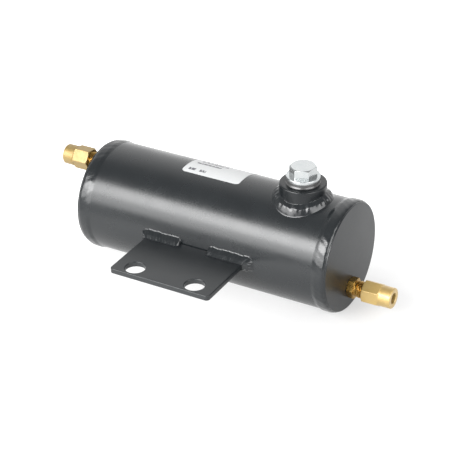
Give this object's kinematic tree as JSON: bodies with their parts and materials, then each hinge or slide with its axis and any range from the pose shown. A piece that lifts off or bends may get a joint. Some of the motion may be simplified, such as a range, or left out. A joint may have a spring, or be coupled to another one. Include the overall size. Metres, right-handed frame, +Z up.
{
  "type": "hydraulic reservoir",
  "caption": "Small cylindrical welded steel hydraulic oil reservoir with a screw filler plug on top, a flat two-hole bracket and a brass compression pipe fitting in each end.",
  "frame": {"origin": "centre of the bracket's bolt pattern, on the underside of the bracket plate", "axes": "+X along the tank towards the filler and the outlet, +Y from the bolts to the tank, +Z up, the way the filler plug comes out"},
  "size_m": [0.2994, 0.1468, 0.1157],
  "materials": {
    "anthracite_paint": "satin",
    "bright_zinc": "bright zinc plated",
    "brass": "bright turned",
    "seal_rubber": "matte",
    "label_paper": "matte"
  },
  "bodies": {
    "tank": {"tank_tube": "anthracite_paint", "left_end_disc": "anthracite_paint", "right_end_disc": "anthracite_paint", "left_end_weld": "anthracite_paint", "right_end_weld": "anthracite_paint", "filler_boss": "anthracite_paint", "filler_boss_weld": "anthracite_paint", "bracket_plate": "anthracite_paint", "bracket_weld_top_left": "anthracite_paint", "bracket_weld_top_right": "anthracite_paint", "bracket_weld_bottom_left": "anthracite_paint", "bracket_weld_bottom_right": "anthracite_paint", "left_fitting_body": "brass", "right_fitting_body": "brass", "data_label": "label_paper"},
    "plug_seal": {"plug_seal_washer": "seal_rubber"},
    "plug": {"filler_plug": "bright_zinc"},
    "left_ring": {"left_ferrule": "brass"},
    "left_nut": {"left_compression_nut": "brass"},
    "right_ring": {"right_ferrule": "brass"},
    "right_nut": {"right_compression_nut": "brass"}
  },
  "joints": [
    {"name": "plug_lift", "type": "slide", "parent": "tank", "child": "plug_seal", "axis": [0, 0, 1], "range_m": [0, 0.012]},
    {"name": "plug_turn", "type": "hinge", "parent": "plug_seal", "child": "plug", "pos_m": [0.071, 0.0915, 0.0633], "axis": [0, 0, 1], "range_deg": [0, 2880]},
    {"name": "left_nut_travel", "type": "slide", "parent": "tank", "child": "left_ring", "axis": [-1, 0, 0], "range_m": [0, 0.0075]},
    {"name": "left_nut_turn", "type": "hinge", "parent": "left_ring", "child": "left_nut", "pos_m": [-0.1365, 0.0915, 0.0303], "axis": [-1, 0, 0], "range_deg": [0, 1800]},
    {"name": "right_nut_travel", "type": "slide", "parent": "tank", "child": "right_ring", "axis": [1, 0, 0], "range_m": [0, 0.0075]},
    {"name": "right_nut_turn", "type": "hinge", "parent": "right_ring", "child": "right_nut", "pos_m": [0.1365, 0.0915, -0.0233], "axis": [1, 0, 0], "range_deg": [0, 1800]}
  ],
  "couplings": [
    {"joint": "plug_lift", "follows": "plug_turn", "m_per_rad": 0.00023873},
    {"joint": "left_nut_travel", "follows": "left_nut_turn", "m_per_rad": 0.00023873},
    {"joint": "right_nut_travel", "follows": "right_nut_turn", "m_per_rad": 0.00023873}
  ]
}
